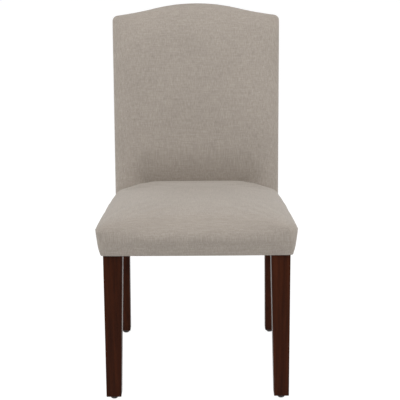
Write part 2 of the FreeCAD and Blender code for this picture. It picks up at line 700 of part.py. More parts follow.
wadding_rear = thickness - size("wadding_setback")
back_wadding = hollow_loft(back_sections(back_wadding_outer, wadding_rear),
                           back_sections(back_wadding_inner, wadding_rear))
shape_piece("back_wadding", back_wadding.cut(below_back).cut(rail_pocket), LEANING_FRAME)

web_face = size("front_padding") - 2 * size("web_thickness")
foam_sections = back_sections(back_foam_outer, web_face - gap, size("foam_edge_draw"))
back_foam = Part.makeLoft(foam_sections, True, True)
shape_piece("back_foam", back_foam.cut(below_back).cut(rail_pocket), LEANING_FRAME)

# Panel that closes the rear, with thin padding behind the posts
panel_inset = BACK_EDGE[-1][1] + cover + gap
panel_corner = size("panel_corner_radius")
panel = Part.Face(arched_outline(thickness - cover, panel_inset, panel_corner)).extrude(Vector(0, cover, 0))
shape_piece("back_outside_panel", panel.cut(below_back), LEANING_FRAME)
post_rear = size("front_padding") + size("post_depth")
padding_inset = panel_inset + size("rear_padding_inset")
rear_padding = Part.Face(arched_outline(post_rear + gap, padding_inset, panel_corner))
rear_padding = rear_padding.extrude(Vector(0, thickness - cover - post_rear - 2 * gap, 0))
shape_piece("back_rear_padding", rear_padding.cut(below_back), LEANING_FRAME)


# Webbing of the back: crosswise webs on the posts, upright webs in front of them

BACK_CROSS_WEBS = 4
SEAT_LENGTH_WEBS = 5
SEAT_CROSS_WEBS = 4

cross_webs = []
for i in range(BACK_CROSS_WEBS):
    web = box("back_cross_web_%d" % i,
              "2 * ({rear_leg_half} - {back_web_end_gap})", "{web_thickness}", "{web_width}")
    share = "%d / %d" % (i + 1, BACK_CROSS_WEBS + 1)
    put_leaning(web, "{back_web_end_gap} - {rear_leg_half}", "{front_padding} - {web_thickness}",
                "%s + (%s - %s) * %s - {web_width} / 2"
                % (LOWER_RAIL_TOP, TOP_RAIL_UNDERSIDE, LOWER_RAIL_TOP, share))
    cross_webs.append(web)
keep(group("back_cross_web_group", cross_webs), "back_cross_webs")
upright_webs = []
for side in (-1, 1):
    web = box("back_upright_web_%s" % ("left" if side < 0 else "right"), "{web_width}", "{web_thickness}",
              "%s - %s + 3 * {web_tack}" % (TOP_RAIL_UNDERSIDE, LOWER_RAIL_TOP))
    put_leaning(web, "%d * {back_web_upright} - {web_width} / 2" % side,
                "{front_padding} - 2 * {web_thickness}",
                "%s - {web_tack}" % LOWER_RAIL_TOP)
    upright_webs.append(web)
keep(group("back_upright_web_group", upright_webs), "back_upright_webs")


# Webbing of the seat: lengthwise webs on the rails, crosswise webs on top

length_webs = []
outer_web = "(%s - {seat_web_end_gap} - {web_width} / 2)" % LEG_INNER
for i in range(SEAT_LENGTH_WEBS):
    share = "(%d / %d)" % (2 * i - (SEAT_LENGTH_WEBS - 1), SEAT_LENGTH_WEBS - 1)
    web = box("seat_length_web_%d" % i, "{web_width}",
              "%s + {web_tack} - (%s + {rail_thickness} - {web_tack})" % (REAR_RAIL_FRONT, LEG_FRONT),
              "{web_thickness}")
    put(web, "%s * %s - {web_width} / 2" % (outer_web, share),
        "%s + {rail_thickness} - {web_tack}" % LEG_FRONT, RAIL_TOP)
    length_webs.append(web)
keep(group("seat_length_web_group", length_webs), "seat_lengthwise_webs")
cross_webs = []
first_web = "(%s + {web_tack})" % LEG_REAR
last_web = "(%s - 2 * {web_tack} - {web_width})" % post_front("0")
for i in range(SEAT_CROSS_WEBS):
    web = box("seat_cross_web_%d" % i,
              "2 * (%s + {web_tack})" % SIDE_RAIL_INNER, "{web_width}", "{web_thickness}")
    put(web, "-%s - {web_tack}" % SIDE_RAIL_INNER,
        "%s + (%s - %s) * %d / %d" % (first_web, last_web, first_web, i, SEAT_CROSS_WEBS - 1),
        "%s + {web_thickness}" % RAIL_TOP)
    cross_webs.append(web)
keep(group("seat_cross_web_group", cross_webs), "seat_crosswise_webs")


# Soft parts of the seat.
# Each section is (drop below the crown, share of the belly, inset of the outline).

SEAT_SIDE = [(101, 0), (97, 0.1), (84, 0.47), (69, 0.69), (54, 0.9), (41, 1)]
SEAT_SHOULDER = [(35, 3.7), (29, 11.5), (23, 21.7), (17.5, 32.5), (12.7, 45.7), (8.7, 57), (5.5, 70),
                 (2.5, 88), (0.5, 112), (0, 140)]
TAN_LEAN = math.tan(LEAN)
# The upright corners grow rounder as the outline is drawn in over the shoulder
CORNER_GROWTH = 0.45
SMALLEST_SEAT_CORNER = 1.5
foam_base = size("rail_lift") + size("rail_height") + 2 * size("web_thickness") + gap


def seat_section(rise, belly, inset, depth, rear_w):
    """The seat's outline at a rise above its lower edge: a closed wire with six edges.

    Its rear edge lies in the plane that is rear_w behind the leaning face of the back.
    """
    front_half = size("seat_front_half") + belly * size("seat_belly") - inset - depth
    rear_half = size("seat_rear_half") + belly * size("seat_rear_belly") - inset - depth
    front = size("seat_belly") * (1 - belly) + inset + depth
    radius = size("seat_hem_radius") + belly * (size("seat_corner_radius") - size("seat_hem_radius"))
    radius = max(radius + CORNER_GROWTH * inset - depth, SMALLEST_SEAT_CORNER)
    # The seat is level up to the webbing and falls to the rear above it
    fall = size("seat_fall") * max(0.0, rise - foam_base) / (size("seat_crown_rise") - foam_base)
    tilt = fall / size("seat_depth")
    crown = size("seat_bottom_height") + size("seat_crown_rise") - size("seat_fall")
    base = size("seat_bottom_height") + rise
    rear = size("seat_depth") + rear_w / math.cos(LEAN) + (base - crown) * TAN_LEAN
    rear -= tilt * rear * TAN_LEAN

    def at(x, along):
        return Vector(x, along - size("origin_setback"), base - tilt * along)

    side_angle = math.atan2(front_half - rear_half, rear - front)
    reach = radius * math.tan((math.pi / 2 - side_angle) / 2)
    corner_front = (front_half - reach, front)
    corner_side = (front_half - reach * math.sin(side_angle), front + reach * math.cos(side_angle))
    half_turn = (math.pi / 2 - side_angle) / 2
    away = radius / math.cos(half_turn) - radius
    bisector = math.pi / 2 - (math.pi / 2 + side_angle) / 2
    corner_mid = (front_half - away * math.cos(bisector), front + away * math.sin(bisector))
    side_mid = ((corner_side[0] + rear_half) / 2 + size("seat_side_bow"), (corner_side[1] + rear) / 2)
    front_mid = (0, front - size("seat_front_bow"))
    edges = [Part.Arc(at(-corner_front[0], corner_front[1]), at(*front_mid), at(*corner_front)),
             Part.Arc(at(*corner_front), at(*corner_mid), at(*corner_side)),
             Part.Arc(at(*corner_side), at(*side_mid), at(rear_half, rear)),
             Part.LineSegment(at(rear_half, rear), at(-rear_half, rear)),
             Part.Arc(at(-rear_half, rear), at(-side_mid[0], side_mid[1]), at(-corner_side[0], corner_side[1])),
             Part.Arc(at(-corner_side[0], corner_side[1]), at(-corner_mid[0], corner_mid[1]),
                      at(-corner_front[0], corner_front[1]))]
    return Part.Wire([edge.toShape() for edge in edges])


def seat_loft(depth, bottom, rear_w):
    """The seat's form drawn in by a depth, from a rise above its lower edge up to the crown."""
    rise = size("seat_crown_rise")
    crown = [seat_section(rise - drop - depth, 1, inset, depth, rear_w)
             for drop, inset in reversed(SEAT_SHOULDER)]
    side = [seat_section(rise - drop, belly, 0, depth, rear_w)
            for drop, belly in reversed(SEAT_SIDE) if rise - drop > bottom]
    hem = [seat_section(bottom, belly_at(bottom), 0, depth, rear_w)]
    return Part.makeLoft(crown + side + hem, True, True)


def belly_at(rise):
    """Share of the belly at a rise above the lower edge, between the sections that list it."""
    crown = size("seat_crown_rise")
    for (drop, share), (next_drop, next_share) in zip(SEAT_SIDE, SEAT_SIDE[1:]):
        if next_drop <= crown - rise <= drop:
            return share + (next_share - share) * (drop - (crown - rise)) / (drop - next_drop)
    return 1.0 if rise > 0 else 0.0


seat_wadding_outer = cover + gap
seat_wadding_inner = seat_wadding_outer + size("seat_wadding")
seat_foam_outer = seat_wadding_inner + gap

tail = size("seat_tail")
tail_top = size("seat_bottom_height") + pocket_rise - gap
behind_face = leaning_box(-FAR, FAR, -gap, FAR, -FAR, FAR).cut(level_below(tail_top))
behind_face.Placement = LEANING_FRAME


def seat_skin(outer_depth, inner_depth, bottom):
    """A layer over the seat, open below and behind, whose sides end in a tail beside the posts."""
    outside = seat_loft(outer_depth, bottom, tail)
    inside = seat_loft(inner_depth, bottom, 2 * tail)
    return outside.cut(inside).cut(behind_face)


shape_piece("seat_cover", seat_skin(0, cover, 0))
shape_piece("seat_wadding", seat_skin(seat_wadding_outer, seat_wadding_inner, size("rail_lift")))
shape_piece("seat_foam", seat_loft(seat_foam_outer, foam_base, -gap))


# Black cloth under the seat, cut round the legs

margin = "{dust_cover_margin}"
cloth_rear = "(%s + {rail_thickness} - %s)" % (REAR_RAIL_FRONT, margin)
cloth_front = "(%s + %s)" % (LEG_FRONT, margin)
cloth_side = "({side_rail_half} - %s)" % margin
cloth = put(box("dust_cover_cloth", "2 * %s" % cloth_side, "%s - %s" % (cloth_rear, cloth_front),
                "{dust_cover_thickness}"),
            "-%s" % cloth_side, cloth_front, "%s - {dust_cover_thickness}" % RAIL_BASE)
front_notch = put(box("front_notch", "2 * {front_leg_side}", "{front_leg_side} + {front_leg_setback}",
                      "2 * {rail_height}"),
                  "%s - {block_leg_gap}" % LEG_INNER, "%s - {front_leg_setback} + {block_leg_gap}" % LEG_FRONT,
                  "%s - {rail_height}" % RAIL_BASE)
rear_notch = put(box("rear_notch", "2 * {rear_leg_width}", "2 * {post_depth}", "2 * {rail_height}"),
                 "%s - {block_leg_gap}" % POST_INNER, "%s - {block_leg_gap}" % post_front("0"),
                 "%s - {rail_height}" % RAIL_BASE)
notches_right = group("notches_right", [front_notch, rear_notch])
notches = group("notches", [notches_right, mirrored("notches_left", notches_right)])
keep(cut("dust_cover_cut", cloth, group("cloth_cuts", [notches, staple_group])), "dust_cover")


# Glides with their nails

def glide(name, x, y):
    body = doc.addObject("PartDesign::Body", name)
    sketch = body.newObject("Sketcher::SketchObject", name + "_profile")
    sketch.AttachmentSupport = [(origin_plane(body, "XZ_Plane"), "")]
    sketch.MapMode = "FlatFace"
    rest = size("glide_rest_diameter") / 2
    rim = size("glide_diameter") / 2
    nail = size("nail_diameter") / 2
    top = size("glide_height")
    tip = top + size("nail_length")
    corners = [(0, 0), (rest, 0), (rim, top / 3), (rim, top), (nail, top), (nail, tip - 2 * nail), (0, tip)]
    for i, (across, upward) in enumerate(corners):
        following = corners[(i + 1) % len(corners)]
        sketch.addGeometry(Part.LineSegment(Vector(across, upward, 0), Vector(*following, 0)), False)
    count = len(corners)
    for i in range(count):
        sketch.addConstraint(Sketcher.Constraint("Coincident", i, 2, (i + 1) % count, 1))
    sketch.addConstraint(Sketcher.Constraint("Coincident", 0, 1, -1, 1))
    sketch.addConstraint(Sketcher.Constraint("Horizontal", 0))
    sketch.addConstraint(Sketcher.Constraint("Vertical", 2))
    sketch.addConstraint(Sketcher.Constraint("Horizontal", 3))
    sketch.addConstraint(Sketcher.Constraint("Vertical", 4))
    sketch.addConstraint(Sketcher.Constraint("PointOnObject", 6, 1, -2))
    for kind, first, text in (("DistanceX", 1, "{glide_rest_diameter} / 2"),
                              ("DistanceX", 2, "{glide_diameter} / 2"),
                              ("DistanceY", 2, "{glide_height} / 3"),
                              ("DistanceY", 3, "{glide_height}"),
                              ("DistanceX", 4, "{nail_diameter} / 2"),
                              ("DistanceY", 5, "{glide_height} + {nail_length} - {nail_diameter}"),
                              ("DistanceY", 6, "{glide_height} + {nail_length}")):
        index = sketch.addConstraint(Sketcher.Constraint(kind, -1, 1, first, 1, 5.0))
        sketch.setExpression("Constraints[%d]" % index, linked(text))
    turned = body.newObject("PartDesign::Revolution", name + "_turned")
    turned.Profile = sketch
    turned.ReferenceAxis = (sketch, ["V_Axis"])
    turned.Angle = 360
    put(body, x, y, "0")
    return body


for corner, x, y in (("front", FRONT_FOOT_X, FRONT_FOOT_Y), ("rear", REAR_FOOT_X, REAR_FOOT_Y)):
    right = keep(glide("glide_%s_right_body" % corner, x, y), "glide_%s_right" % corner)
    keep(mirrored("glide_%s_left_mirror" % corner, right), "glide_%s_left" % corner)


# Check everything, then write one file for each sub-part

doc.recompute()
for thing in doc.Objects:
    if "Invalid" in thing.State or "Error" in thing.State:
        raise RuntimeError("%s could not be built" % thing.Label)
for node in NODES:
    if node.Shape.isNull() or not node.Shape.isValid() or not node.Shape.Solids:
        raise RuntimeError("%s has no valid solid" % node.Label)

os.makedirs("parts", exist_ok=True)
for node in NODES:
    node.Shape.exportStep("parts/%s.step" % node.Label)
    print("%-28s %2d solid(s) %10.1f mm3" % (node.Label, len(node.Shape.Solids), node.Shape.Volume))
everything = Part.Compound([node.Shape for node in NODES]).BoundBox
print("box", [round(v, 2) for v in (everything.XMin, everything.YMin, everything.ZMin,
                                    everything.XMax, everything.YMax, everything.ZMax)])
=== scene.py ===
import math

import bmesh
import bpy
import numpy as np
from mathutils import Matrix, Vector


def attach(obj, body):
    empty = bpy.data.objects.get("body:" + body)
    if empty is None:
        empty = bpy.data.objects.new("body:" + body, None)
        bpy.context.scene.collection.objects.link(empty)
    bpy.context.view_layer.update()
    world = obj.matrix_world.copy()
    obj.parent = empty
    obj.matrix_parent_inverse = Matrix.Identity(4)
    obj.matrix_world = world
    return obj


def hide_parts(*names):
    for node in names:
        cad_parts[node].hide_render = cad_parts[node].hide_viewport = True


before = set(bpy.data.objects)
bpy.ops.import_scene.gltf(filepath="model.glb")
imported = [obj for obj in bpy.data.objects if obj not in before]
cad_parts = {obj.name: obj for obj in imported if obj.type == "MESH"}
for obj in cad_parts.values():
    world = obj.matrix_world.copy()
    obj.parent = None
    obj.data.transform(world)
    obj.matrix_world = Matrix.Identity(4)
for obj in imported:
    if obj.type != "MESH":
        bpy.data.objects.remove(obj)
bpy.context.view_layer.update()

# An upholstered dining chair: an arched padded back and a crowned padded seat in slubby linen,
# on four tapered legs of dark stained wood. Lengths are in metres.

bpy.context.scene.view_settings.view_transform = "Standard"


# Sizes that the pieces share

LEAN = math.radians(8)
FLOOR_TO_SEAT_EDGE = 0.382
SEAT_RISE = 0.101
SEAT_FALL = 0.006
SEAT_DEPTH = 0.446
FRONT_TO_ORIGIN = 0.2939
BACK_FOOT_Y = SEAT_DEPTH - (SEAT_RISE - SEAT_FALL) * math.tan(LEAN) - FRONT_TO_ORIGIN
BACK_THICKNESS = 0.076
CREST_HEIGHT = 0.970
CREST_BEHIND_FACE = 0.026
CREST_UP = (CREST_HEIGHT - FLOOR_TO_SEAT_EDGE + CREST_BEHIND_FACE * math.sin(LEAN)) / math.cos(LEAN)

LEG_FRONT_Y = 0.016 - FRONT_TO_ORIGIN
FRONT_LEG_HALF = 0.232
FRONT_LEG_SIDE = 0.048
FRONT_LEG_FOOT = 0.038
REAR_LEG_HALF = 0.228
REAR_LEG_WIDTH = 0.034
REAR_FOOT_WIDTH = 0.0275
REAR_FOOT_DEPTH = 0.036
REAR_FOOT_REAR_Y = LEG_FRONT_Y + 0.540
FRONT_PADDING = 0.028
POST_DEPTH = 0.038
POST_UP = 0.5578
GLIDE_HEIGHT = 0.009
SIDE_RAIL_HALF = 0.226
RAIL_THICKNESS = 0.022
RAIL_BASE = FLOOR_TO_SEAT_EDGE + 0.001
RAIL_GAP = 0.0001
REAR_RAIL_Y = BACK_FOOT_Y + 0.038
FRAME_CLEARANCE = 0.0004

# The black cloth's outline under the seat, which the covers are turned under to meet
CLOTH_MARGIN = 0.009
CLOTH_HALF = SIDE_RAIL_HALF - CLOTH_MARGIN
CLOTH_FRONT_Y = LEG_FRONT_Y + CLOTH_MARGIN
CLOTH_REAR_Y = REAR_RAIL_Y + RAIL_THICKNESS - CLOTH_MARGIN


# Working by hand: small helpers round the modelling operators

def select_none():
    for other in bpy.context.selected_objects:
        other.select_set(False)


def alone(piece):
    """Makes a piece the only selected one."""
    select_none()
    bpy.context.view_layer.objects.active = piece
    piece.select_set(True)


def open_up(piece):
    """Takes a piece to edit mode with nothing selected."""
    alone(piece)
    bpy.ops.object.mode_set(mode="EDIT")
    bpy.ops.mesh.select_mode(type="FACE")
    bpy.ops.mesh.select_all(action="DESELECT")


def close_up():
    bpy.ops.object.mode_set(mode="OBJECT")


def pick_faces(piece, wanted):
    """Selects the faces of a piece that are in edit mode, by their middle and normal."""
    mesh = bmesh.from_edit_mesh(piece.data)
    for face in mesh.faces:
        face.select_set(wanted(face.calc_center_median(), face.normal))
    bmesh.update_edit_mesh(piece.data)


def block(name, low, high):
    """A box between two corners, as a start for a piece or as a tool; its object sits at the origin."""
    select_none()
    low = Vector(low)
    high = Vector(high)
    bpy.ops.mesh.primitive_cube_add(size=1, location=(low + high) / 2)
    piece = bpy.context.active_object
    piece.name = name
    piece.data.name = name
    piece.scale = high - low
    alone(piece)
    bpy.ops.object.transform_apply(location=True, rotation=True, scale=True)
    return piece


def put_in_scene(name, data):
    """An object of its own for a mesh, a lamp or a camera."""
    thing = bpy.data.objects.new(name, data)
    bpy.context.scene.collection.objects.link(thing)
    return thing


def apply_modifier(piece, modifier):
    alone(piece)
    bpy.ops.object.modifier_apply(modifier=modifier.name)


def combine(piece, tool, operation):
    """Adds a tool's form to a piece (UNION) or cuts it out (DIFFERENCE), and throws the tool away."""
    boolean = piece.modifiers.new("combine", "BOOLEAN")
    boolean.operation = operation
    boolean.solver = "EXACT"
    boolean.object = tool
    apply_modifier(piece, boolean)
    bpy.data.objects.remove(tool)


def mirrored_copy(piece, name):
    """The same piece on the other side of the chair, with a mesh of its own."""
    mesh = piece.data.copy()
    mesh.name = name
    mesh.transform(Matrix.Scale(-1, 4, Vector((1, 0, 0))))
    mesh.flip_normals()
    return put_in_scene(name, mesh)


def smooth(piece, degrees=None):
    """Shades a piece smooth, all over or only where its faces meet at less than an angle."""
    alone(piece)
    if degrees is None:
        bpy.ops.object.shade_smooth()
    else:
        bpy.ops.object.shade_smooth_by_angle(angle=math.radians(degrees))


def give_material(piece, material):
    piece.data.materials.clear()
    piece.data.materials.append(material)


def dress(piece, material):
    give_material(piece, material)
    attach(piece, "root")


# Materials

class Finish:
    """A node material that reads the object's own coordinates."""

    def __init__(self, name):
        self.material = bpy.data.materials.new(name)
        self.material.use_nodes = True
        self.tree = self.material.node_tree
        self.tree.nodes.clear()
        self.output = self.add("ShaderNodeOutputMaterial")
        self.shader = self.add("ShaderNodeBsdfPrincipled")
        self.wire(self.shader.outputs["BSDF"], self.output.inputs["Surface"])
        self.place = self.add("ShaderNodeTexCoord")

    def add(self, kind, **settings):
        node = self.tree.nodes.new(kind)
        for name, value in settings.items():
            setattr(node, name, value)
        return node

    def wire(self, start, end):
        self.tree.links.new(start, end)

    def put(self, socket, value):
        if hasattr(value, "is_output"):
            self.wire(value, socket)
        else:
            socket.default_value = value

    def maths(self, operation, *values, clamp=False):
        node = self.add("ShaderNodeMath", operation=operation, use_clamp=clamp)
        for socket, value in zip(node.inputs, values):
            self.put(socket, value)
        return node.outputs[0]

    def stretched(self, scale):
        """Object coordinates scaled along each axis, in repeats per metre."""
        node = self.add("ShaderNodeMapping")
        self.wire(self.place.outputs["Object"], node.inputs["Vector"])
        node.inputs["Scale"].default_value = scale
        return node.outputs["Vector"]

    def noise(self, scale, detail=2.0, roughness=0.5):
        node = self.add("ShaderNodeTexNoise")
        self.wire(self.stretched(scale), node.inputs["Vector"])
        node.inputs["Scale"].default_value = 1.0
        node.inputs["Detail"].default_value = detail
        node.inputs["Roughness"].default_value = roughness
        return node.outputs["Fac"]

    def ramp(self, value, stops):
        node = self.add("ShaderNodeValToRGB")
        self.wire(value, node.inputs["Fac"])
        elements = node.color_ramp.elements
        while len(elements) < len(stops):
            elements.new(0.5)
        for element, (position, colour) in zip(elements, stops):
            element.position = position
            element.color = (*colour, 1)
        return node.outputs["Color"]

    def blended(self, factor, first, second, blend="MIX"):
        node = self.add("ShaderNodeMix", data_type="RGBA", blend_type=blend)
        for socket, value in ((node.inputs[0], factor), (node.inputs[6], first), (node.inputs[7], second)):
            self.put(socket, value)
        return node.outputs[2]

    def bump(self, height, strength, distance):
        node = self.add("ShaderNodeBump")
        node.inputs["Strength"].default_value = strength
        node.inputs["Distance"].default_value = distance
        self.wire(height, node.inputs["Height"])
        self.wire(node.outputs["Normal"], self.shader.inputs["Normal"])

    def set(self, **values):
        for name, value in values.items():
            self.put(self.shader.inputs[name.replace("_", " ")], value)


def grey(value):
    return (value, value, value)


# The upright yarns show more than those that run across, by this factor
UPRIGHT_YARNS = 1.5


def make_linen():
    """Plain weave of uneven yarns, stretched along each axis and kept off the faces that they would run into."""
    cloth = Finish("slub linen")
    split = cloth.add("ShaderNodeSeparateXYZ")
    cloth.wire(cloth.place.outputs["Normal"], split.inputs[0])
    shares = []
    for axis in range(3):
        square = cloth.maths("MULTIPLY", split.outputs[axis], split.outputs[axis])
        shares.append(cloth.maths("SUBTRACT", 1.0, square, clamp=True))

    def along_each_axis(long_scale, fine_scale, detail):
        """Threads along all three axes, about 1 / fine_scale thick and 1 / long_scale long."""
        total = None
        for axis in range(3):
            scale = [fine_scale] * 3
            scale[axis] = long_scale
            contrast = cloth.maths("MULTIPLY", shares[axis], UPRIGHT_YARNS if axis == 2 else 1.0)
            yarn = cloth.maths("MULTIPLY", cloth.maths("SUBTRACT", cloth.noise(scale, detail), 0.5), contrast)
            total = yarn if total is None else cloth.maths("ADD", total, yarn)
        return cloth.maths("MULTIPLY_ADD", total, 0.5, 0.5)

    slubs = along_each_axis(26.0, 430.0, 2.0)
    yarns = along_each_axis(60.0, 700.0, 1.0)
    cloudy = cloth.noise((9.0, 9.0, 9.0), 2.0)
    light = cloth.ramp(slubs, [(0.36, (0.330, 0.291, 0.252)), (0.5, (0.357, 0.315, 0.274)),
                               (0.64, (0.385, 0.341, 0.298))])
    fine = cloth.ramp(yarns, [(0.34, grey(0.90)), (0.66, grey(1.10))])
    tone = cloth.blended(1.0, light, fine, "MULTIPLY")
    shade = cloth.ramp(cloudy, [(0.3, grey(0.97)), (0.7, grey(1.03))])
    cloth.set(Base_Color=cloth.blended(1.0, tone, shade, "MULTIPLY"), Roughness=0.92,
              Sheen_Weight=0.25, Sheen_Roughness=0.45, Sheen_Tint=(1.0, 0.99, 0.97, 1.0),
              Specular_IOR_Level=0.25)
    height = cloth.maths("ADD", slubs, cloth.maths("MULTIPLY", yarns, 0.6))
    cloth.bump(height, 0.25, 0.0010)
    return cloth.material


def make_stained_wood():
    """Dark espresso stain over straight grain that runs up the leg, under a satin lacquer."""
    wood = Finish("espresso stained wood")
    grain = wood.noise((150.0, 150.0, 7.0), 5.0, 0.6)
    bands = wood.noise((38.0, 38.0, 1.6), 3.0)
    mixed = wood.maths("ADD", wood.maths("MULTIPLY", grain, 0.55), wood.maths("MULTIPLY", bands, 0.45))
    colour = wood.ramp(mixed, [(0.34, (0.022, 0.0050, 0.0016)), (0.5, (0.043, 0.0100, 0.0031)),
                               (0.68, (0.068, 0.0165, 0.0052))])
    rough = wood.ramp(grain, [(0.3, grey(0.30)), (0.7, grey(0.40))])
    wood.set(Base_Color=colour, Roughness=rough, Specular_IOR_Level=0.06)
    wood.bump(grain, 0.12, 0.0006)
    return wood.material


def make_frame_wood():
    """Plain sawn hardwood of the hidden frame."""
    wood = Finish("sawn hardwood")
    grain = wood.noise((16.0, 16.0, 160.0), 4.0, 0.6)
    fleck = wood.noise((60.0, 400.0, 400.0), 2.0)
    colour = wood.ramp(wood.maths("ADD", wood.maths("MULTIPLY", grain, 0.7), wood.maths("MULTIPLY", fleck, 0.3)),
                       [(0.35, (0.42, 0.27, 0.14)), (0.5, (0.60, 0.43, 0.26)), (0.65, (0.72, 0.55, 0.36))])
    wood.set(Base_Color=colour, Roughness=0.75)
    wood.bump(fleck, 0.3, 0.0008)
    return wood.material


def make_webbing():
    """Black elastic webbing with its lengthwise ribs."""
    web = Finish("elastic webbing")
    ribs = web.noise((500.0, 500.0, 60.0), 1.0)
    colour = web.ramp(ribs, [(0.35, (0.05, 0.045, 0.04)), (0.65, (0.16, 0.15, 0.13))])
    web.set(Base_Color=colour, Roughness=0.85)
    web.bump(ribs, 0.4, 0.0006)
    return web.material


def make_black_cloth():
    """Non-woven black cambric: short crossed fibres."""
    cloth = Finish("black cambric")
    fibres = cloth.noise((700.0, 120.0, 700.0), 2.0)
    crossed = cloth.noise((120.0, 700.0, 700.0), 2.0)
    both = cloth.maths("MULTIPLY", cloth.maths("ADD", fibres, crossed), 0.5)
    colour = cloth.ramp(both, [(0.4, (0.012, 0.012, 0.013)), (0.6, (0.035, 0.035, 0.037))])
    cloth.set(Base_Color=colour, Roughness=0.95, Sheen_Weight=0.15)
    cloth.bump(both, 0.3, 0.0005)
    return cloth.material


def make_steel():
    """Bright zinc plating with fine drawing marks."""
    steel = Finish("zinc plated steel")
    marks = steel.noise((900.0, 900.0, 200.0), 2.0)
    colour = steel.ramp(marks, [(0.3, grey(0.52)), (0.7, grey(0.68))])
    rough = steel.ramp(marks, [(0.3, grey(0.28)), (0.7, grey(0.42))])
    steel.set(Base_Color=colour, Roughness=rough, Metallic=1.0)
    return steel.material


def make_glide_plastic():
    """Dark moulded plastic, scuffed a little lighter where it rubs."""
    plastic = Finish("dark glide plastic")
    scuffs = plastic.noise((260.0, 260.0, 260.0), 3.0)
    colour = plastic.ramp(scuffs, [(0.4, (0.018, 0.015, 0.012)), (0.65, (0.05, 0.044, 0.038))])
    rough = plastic.ramp(scuffs, [(0.3, grey(0.40)), (0.7, grey(0.60))])
    plastic.set(Base_Color=colour, Roughness=rough)
    plastic.bump(scuffs, 0.15, 0.0004)
    return plastic.material


LINEN = make_linen()
STAINED_WOOD = make_stained_wood()
FRAME_WOOD = make_frame_wood()
WEBBING = make_webbing()
BLACK_CLOTH = make_black_cloth()
STEEL = make_steel()
GLIDE_PLASTIC = make_glide_plastic()

# Pieces of the CAD model that stay as they are and only take a material

CORNERS = ("front_left", "front_right", "rear_left", "rear_right")
KEPT_NODES = {
    FRAME_WOOD: ["dowels", "front_rail", "rear_rail", "side_rail_left", "side_rail_right", "back_lower_rail",
                 "back_top_rail"] + ["corner_block_%s" % corner for corner in CORNERS],
    STEEL: ["leg_bolts", "bolt_washers", "bolt_nuts", "block_screws", "dust_cover_staples"],
    WEBBING: ["back_cross_webs", "back_upright_webs", "seat_lengthwise_webs", "seat_crosswise_webs"],
    GLIDE_PLASTIC: ["glide_%s" % corner for corner in CORNERS],
}
for material, names in KEPT_NODES.items():
    for name in names:
        give_material(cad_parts[name], material)


# Legs

LEG_EDGE = 0.0018
FRONT_LEG_HEAD = 0.052
POST_TOP_DROP = 0.006


def ease_edges(piece):
    """Rounds every edge of a leg a little, as sanding does."""
    bevel = piece.modifiers.new("eased edges", "BEVEL")
    bevel.width = LEG_EDGE
    bevel.segments = 3
    bevel.limit_method = "ANGLE"
    bevel.angle_limit = math.radians(25)
    apply_modifier(piece, bevel)
    smooth(piece, 35)


def front_leg():
    """A square leg, tapered on its two inner faces from the seat's lower edge to the foot."""
    inner_x = FRONT_LEG_HALF - FRONT_LEG_SIDE
    leg = block("front_leg_right_wood", (inner_x, LEG_FRONT_Y, FLOOR_TO_SEAT_EDGE),
                (FRONT_LEG_HALF, LEG_FRONT_Y + FRONT_LEG_SIDE, FLOOR_TO_SEAT_EDGE + FRONT_LEG_HEAD))
    open_up(leg)
    pick_faces(leg, lambda middle, normal: normal.z < -0.9)
    bpy.ops.mesh.extrude_region_move(
        TRANSFORM_OT_translate={"value": (0, 0, GLIDE_HEIGHT - FLOOR_TO_SEAT_EDGE)})
    shrink = FRONT_LEG_FOOT / FRONT_LEG_SIDE
    bpy.ops.transform.resize(value=(shrink, shrink, 1),
                             center_override=(FRONT_LEG_HALF, LEG_FRONT_Y, GLIDE_HEIGHT))
    close_up()
    ease_edges(leg)
    return leg


def rear_leg():
    """Leg and back post sawn from one board: raked below the seat, leaning above it."""
    inner_x = REAR_LEG_HALF - REAR_LEG_WIDTH
    knee_front = BACK_FOOT_Y + FRONT_PADDING / math.cos(LEAN)
    knee_rear = knee_front + POST_DEPTH / math.cos(LEAN)
    post_height = POST_UP * math.cos(LEAN) - FRONT_PADDING * math.sin(LEAN) - POST_TOP_DROP
    leg = block("rear_leg_right_wood", (inner_x, knee_front, FLOOR_TO_SEAT_EDGE),
                (REAR_LEG_HALF, knee_rear, FLOOR_TO_SEAT_EDGE + post_height))
    open_up(leg)
    pick_faces(leg, lambda middle, normal: normal.z > 0.9)
    bpy.ops.transform.translate(value=(0, post_height * math.tan(LEAN), 0))
    pick_faces(leg, lambda middle, normal: normal.z < -0.9)
    bpy.ops.mesh.extrude_region_move(
        TRANSFORM_OT_translate={"value": (0, REAR_FOOT_REAR_Y - knee_rear, GLIDE_HEIGHT - FLOOR_TO_SEAT_EDGE)})
    bpy.ops.transform.resize(value=(REAR_FOOT_WIDTH / REAR_LEG_WIDTH, REAR_FOOT_DEPTH / (knee_rear - knee_front), 1),
                             center_override=(REAR_LEG_HALF, REAR_FOOT_REAR_Y, GLIDE_HEIGHT))
    close_up()
    ease_edges(leg)
    return leg


for make_leg, corner in ((front_leg, "front"), (rear_leg, "rear")):
    right = make_leg()
    left = mirrored_copy(right, "%s_leg_left_wood" % corner)
    for piece, side in ((right, "right"), (left, "left")):
        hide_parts("%s_leg_%s" % (corner, side))
        dress(piece, STAINED_WOOD)


# Soft pieces start as lofts of rings, given as rows of points

SKIN_STEP = 0.006
PANEL_SKIN_STEP = 0.004
SKIN_PASSES = 2
CLOTH_FRAMES = 20
ROW_STEP = 0.003


